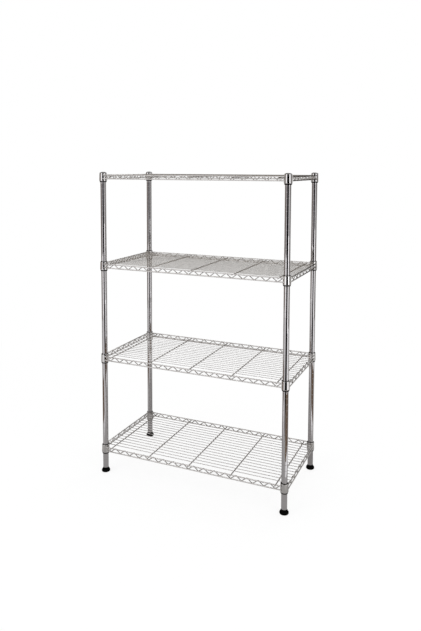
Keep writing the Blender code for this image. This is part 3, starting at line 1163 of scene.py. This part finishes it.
NEAR_WALL = (3.3, 3.3)
PALE = (0.95, 0.94, 0.93)
CARDS = (
    Card("front_foot", -17, 32, BLACK, (0.0, 0.6)),
    Card("front", -25, 28, BLACK, (0.6, 2.6)),
    Card("strip_foot", 32, 50, (2.1, 2.1, 2.11), (0.0, 0.85), NEAR_WALL),
    Card("strip_middle", 30, 50, (0.95, 0.94, 0.95), (0.85, 1.28), NEAR_WALL),
    Card("strip_top", 30, 50, (1.5, 1.5, 1.52), (1.28, 2.6), NEAR_WALL),
    Card("right_step", 50, 62, (0.5, 0.49, 0.49)),
    Card("right_side", 62, 108, (0.2, 0.19, 0.18)),
    Card("right_light", 108, 130, PALE),
    Card("back_dark", 130, 166, (0.07, 0.065, 0.06)),
    Card("back", 166, 204, (0.24, 0.23, 0.22)),
    Card("back_light", 204, 228, PALE),
    Card("left_dark", 228, 250, (0.07, 0.05, 0.035)),
    Card("left_side", 250, 294, (0.23, 0.195, 0.165)),
    Card("dim_foot", -23, -17, (0.26, 0.25, 0.26), (0.0, 0.6)),
    Card("dim", -33, -25, (0.22, 0.21, 0.22), (0.6, 2.6)),
    Card("left_foot", -66, -23, (1.2, 1.19, 1.2), (0.0, 0.6)),
    Card("left_step", -66, -33, (0.6, 0.58, 0.59), (0.6, 0.95)),
    Card("left_middle", -66, -33, (0.48, 0.46, 0.47), (0.95, 1.28)),
    Card("left_top", -66, -33, (1.15, 1.14, 1.16), (1.28, 2.6)),
    flat("floor", 0, 360, (0.0, 3.4), 0.0004, (0.42, 0.41, 0.405)),
    # Painted shadow: a dimmer level card under the shelves, seen only in reflections, stands for their shadow
    # on the floor.
    flat("shelf_shadow", 60, 265, (0.0, 0.66), 0.0005, (0.31, 0.3, 0.295)),
    flat("floor_pale", 0, 360, (0.72, 3.4), 0.0006, (0.49, 0.48, 0.47)),
    flat("aisle", -18, 33, (1.45, 3.4), 0.0008, BLACK),
    flat("aisle_near", -13, 17, (1.1, 1.45), 0.0008, (0.17, 0.155, 0.15)),
    flat("path_right", 33, 75, (0.8, 3.4), 0.0008, (1.1, 1.1, 1.11)),
    flat("path_left", -70, -19, (0.8, 3.4), 0.0008, (0.8, 0.79, 0.8)),
    flat("wood_right", 16, 46, (0.95, 1.85), 0.0012, (0.22, 0.165, 0.12)),
    flat("wood_side", 46, 85, (1.0, 1.9), 0.0012, (0.15, 0.1, 0.07)),
    flat("wood_left", -105, -50, (1.05, 1.75), 0.0012, (0.17, 0.12, 0.085)),
    flat("over", 0, 360, (0.0, 2.6), 3.0, (0.36, 0.335, 0.31)),
)
LAMPS = (
    Lamp("lamp_key", (-1.6, -3.2, 3.0), size=2.2, power=36.0),
    Lamp("lamp_fill", (3.2, -1.8, 2.6), size=2.0, power=22.0),
    Lamp("lamp_back", (0.6, 3.0, 3.2), size=2.2, power=22.0),
)


@dataclass(frozen=True)
class Studio:
    """Camera, pale floor, white surroundings, soft lamps and reflection cards."""

    camera_place: Triple = (1.1388, -2.55, 1.4222)
    camera_way: Triple = (-0.4049, 0.9113, -0.0749)
    camera_roll: float = 0.18
    focal_pixels: float = 609.9
    axis_row: float = 214.5
    sensor: float = 36.0
    floor_colour: Colour = (0.96, 0.96, 0.96)
    floor_roughness: float = 0.9
    floor_radius: float = 9.0
    floor_drop: float = 0.00002
    floor_sides: int = 64
    fade_start: float = 0.35
    fade_stop: float = 2.6
    fade_least: float = 0.82
    sky: float = 0.86

    def camera(self) -> None:
        """Sets the camera where the photograph's was, with its frame shifted as there."""
        lens = bpy.data.cameras.new("camera")
        lens.sensor_width = self.sensor
        lens.lens = self.focal_pixels * self.sensor / IMAGE_HEIGHT
        lens.shift_y = (self.axis_row - IMAGE_HEIGHT / 2.0) / IMAGE_HEIGHT
        made = bpy.data.objects.new("camera", lens)
        made.location = self.camera_place
        roll = Quaternion((0.0, 0.0, 1.0), math.radians(self.camera_roll))
        made.rotation_euler = (Vector(self.camera_way).to_track_quat("-Z", "Y") @ roll).to_euler()
        bpy.context.scene.collection.objects.link(made)
        bpy.context.scene.camera = made

    def world(self) -> None:
        """Makes surroundings that look white and light the object at a plain level."""
        world = bpy.data.worlds.new("surroundings")
        world.use_nodes = True
        bpy.context.scene.world = world
        bench = Bench(world.node_tree)
        light = bench.fill(bench.tree.nodes["Background"], Color=WHITE, Strength=self.sky)
        white = bench.add("Background", Color=WHITE, Strength=1.0)
        bench.blend(bench.seen_straight(), light, white, "World Output")

    def staged(self, name: str, points: Array, faces: Sequence, material: Material) -> Object:
        """Makes a stage object, which isn't part of the shelving unit.

        Args:
            name: The object's name.
            points: Its vertices, in place.
            faces: Vertex numbers of each face.
            material: Its material.

        Returns:
            The object.
        """
        mesh = bpy.data.meshes.new(name)
        mesh.from_pydata(points, [], faces)
        made = bpy.data.objects.new(name, mesh)
        bpy.context.scene.collection.objects.link(made)
        mesh.materials.append(material)
        return made

    def floor(self) -> None:
        """Lays a pale round floor that keeps the shadow and fades to white away from the object."""
        material = bpy.data.materials.new("pale_floor")
        material.use_nodes = True
        bench = Bench(material.node_tree)
        shader = bench.fill(bench.tree.nodes["Principled BSDF"], Base_Color=self.floor_colour)
        bench.fill(shader, Roughness=self.floor_roughness, Specular_IOR_Level=0.0)
        place = bench.add("TexCoord").outputs["Object"]
        span = bench.add("VectorMath", place, operation="LENGTH").outputs["Value"]
        fade = bench.add("MapRange", span, self.fade_start, self.fade_stop, self.fade_least)
        white = bench.add("Emission", Strength=1.0)
        share = bench.times(fade.outputs[0], bench.seen_straight())
        bench.blend(share, shader, white, "Material Output")
        rim = polar((0.0, 0.0), self.floor_radius, bearings(self.floor_sides), -self.floor_drop)
        self.staged("floor", rim, [range(self.floor_sides)], material)

    def card(self, card: Card) -> None:
        """Sets up a card that glossy rays alone can see.

        Args:
            card: The card's shape and colour.
        """
        name = f"card_{card.name}"
        material = bpy.data.materials.new(name)
        material.use_nodes = True
        bench = Bench(material.node_tree)
        bench.tree.nodes.remove(bench.tree.nodes["Principled BSDF"])
        glow = bench.add("Emission", Color=card.colour, Strength=1.0)
        bench.feed(bench.tree.nodes["Material Output"].inputs[0], glow.outputs[0])
        facing = math.degrees(math.atan2(self.camera_place[1], self.camera_place[0]))
        column = np.arange(card.points - 1)
        above = column + card.points
        quads = abreast(column, column + 1, above + 1, above)
        made = self.staged(name, card.grid(facing).reshape(-1, 3), quads.tolist(), material)
        made.visible_camera = False
        made.visible_diffuse = False
        made.visible_shadow = False
        made.visible_transmission = False

    def lamp(self, lamp: Lamp) -> None:
        """Hangs one soft lamp, aimed at the middle of the object.

        Args:
            lamp: The lamp's place, size and power.
        """
        light = bpy.data.lights.new(lamp.name, "AREA")
        light.size = lamp.size
        light.energy = lamp.power
        made = bpy.data.objects.new(lamp.name, light)
        made.location = lamp.place
        low, high = CAD_BOX
        way = (Vector(low) + Vector(high)) / 2.0 - Vector(lamp.place)
        made.rotation_euler = way.to_track_quat("-Z", "Y").to_euler()
        bpy.context.scene.collection.objects.link(made)

    def build(self) -> None:
        """Sets up the whole stage."""
        bpy.context.scene.view_settings.view_transform = "Standard"
        self.camera()
        self.world()
        self.floor()
        for card in CARDS:
            self.card(card)
        for lamp in LAMPS:
            self.lamp(lamp)


def main() -> None:
    """Builds the stage, the posts, the sleeves and the shelves, in that order."""
    logging.basicConfig(level=logging.INFO, format="%(message)s")
    Studio().build()
    maker = Maker(all_materials())
    for corner in Corner:
        GroovedPost(corner).build(maker)
    for shelf in Shelf:
        for corner in Corner:
            SplitSleeve(shelf, corner).build(maker)
        WireShelf(shelf).build(maker)


if __name__ == "__main__":
    main()
